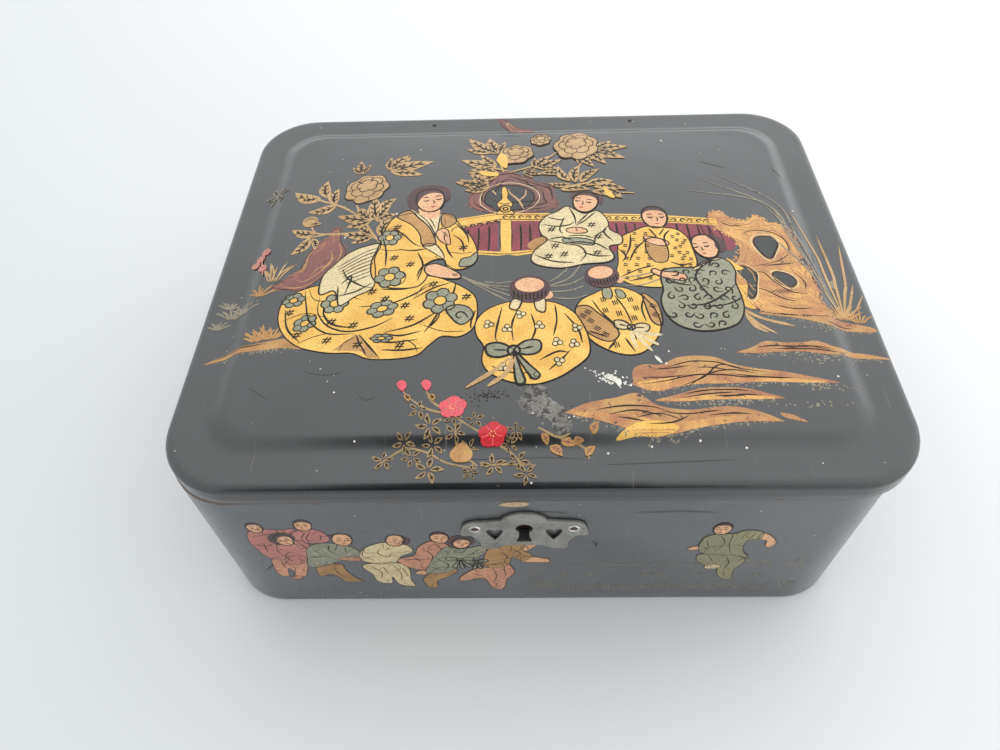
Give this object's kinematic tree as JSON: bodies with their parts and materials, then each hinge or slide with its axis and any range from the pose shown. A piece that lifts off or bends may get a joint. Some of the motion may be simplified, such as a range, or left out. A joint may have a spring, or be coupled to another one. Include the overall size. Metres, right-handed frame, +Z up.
{
  "type": "jewelry box",
  "caption": "Low lacquered jewelry box with rounded corners, a hinged lid with a raised cushion panel, a front lock plate and a padded lift-out tray.",
  "frame": {"origin": "centre of the case's underside", "axes": "+X to the box's right, +Y to its back where the hinges are, +Z up; the lock is on the -Y side"},
  "size_m": [0.2408, 0.1996, 0.0955],
  "materials": {
    "black_lacquer": "glossy black lacquer over wood, with raised gold and colour pictures, scratched and chipped",
    "tray_lacquer": "satin red lacquer over wood",
    "bare_wood": "plain sawn wood",
    "silk": "ribbed crimson silk over padding",
    "white_metal": "dull worn nickel plate with brown tarnish at its edges",
    "brass": "tarnished sheet brass",
    "steel": "grey sheet steel with light rust"
  },
  "bodies": {
    "case": {"case_wall": "black_lacquer", "base_board": "black_lacquer", "tray_ledge_left": "bare_wood", "tray_ledge_right": "bare_wood", "wall_lining": "silk", "floor_pad": "silk", "escutcheon": "white_metal", "escutcheon_nail_left": "white_metal", "escutcheon_nail_right": "white_metal", "hinge_left_case_leaf": "brass", "hinge_left_case_nail_outer": "brass", "hinge_left_case_nail_inner": "brass", "hinge_left_pin": "steel", "hinge_right_case_leaf": "brass", "hinge_right_case_nail_outer": "brass", "hinge_right_case_nail_inner": "brass", "hinge_right_pin": "steel", "lock_case": "steel", "lock_cap": "steel", "lock_spring": "steel", "lock_nail_left": "steel", "lock_nail_right": "steel"},
    "lid": {"lid_shell": "black_lacquer", "lid_pad": "silk", "link_plate": "steel", "link_nail_left": "steel", "link_nail_right": "steel", "hinge_left_lid_leaf": "brass", "hinge_right_lid_leaf": "brass", "hinge_left_lid_nail_outer": "brass", "hinge_left_lid_nail_inner": "brass", "hinge_right_lid_nail_outer": "brass", "hinge_right_lid_nail_inner": "brass"},
    "bolt": {"lock_bolt": "steel"},
    "tray": {"tray_frame": "tray_lacquer", "tray_floor": "tray_lacquer", "divider_left": "tray_lacquer", "divider_right": "tray_lacquer", "divider_cross": "tray_lacquer", "pad_left": "silk", "pad_middle": "silk", "pad_right": "silk", "ring_roll_1": "silk", "ring_roll_2": "silk", "ring_roll_3": "silk", "ring_roll_4": "silk", "ring_roll_5": "silk", "ring_roll_6": "silk", "lift_tab_left": "silk", "lift_tab_right": "silk"}
  },
  "joints": [
    {"name": "lid_hinge", "type": "hinge", "parent": "case", "child": "lid", "pos_m": [0, 0.09985, 0.07915], "axis": [-1, 0, 0], "range_deg": [0, 105]},
    {"name": "bolt_slide", "type": "slide", "parent": "case", "child": "bolt", "axis": [1, 0, 0], "range_m": [0, 0.004]},
    {"name": "tray_lift", "type": "slide", "parent": "case", "child": "tray", "axis": [0, 0, 1], "range_m": [0, 0.008]}
  ]
}
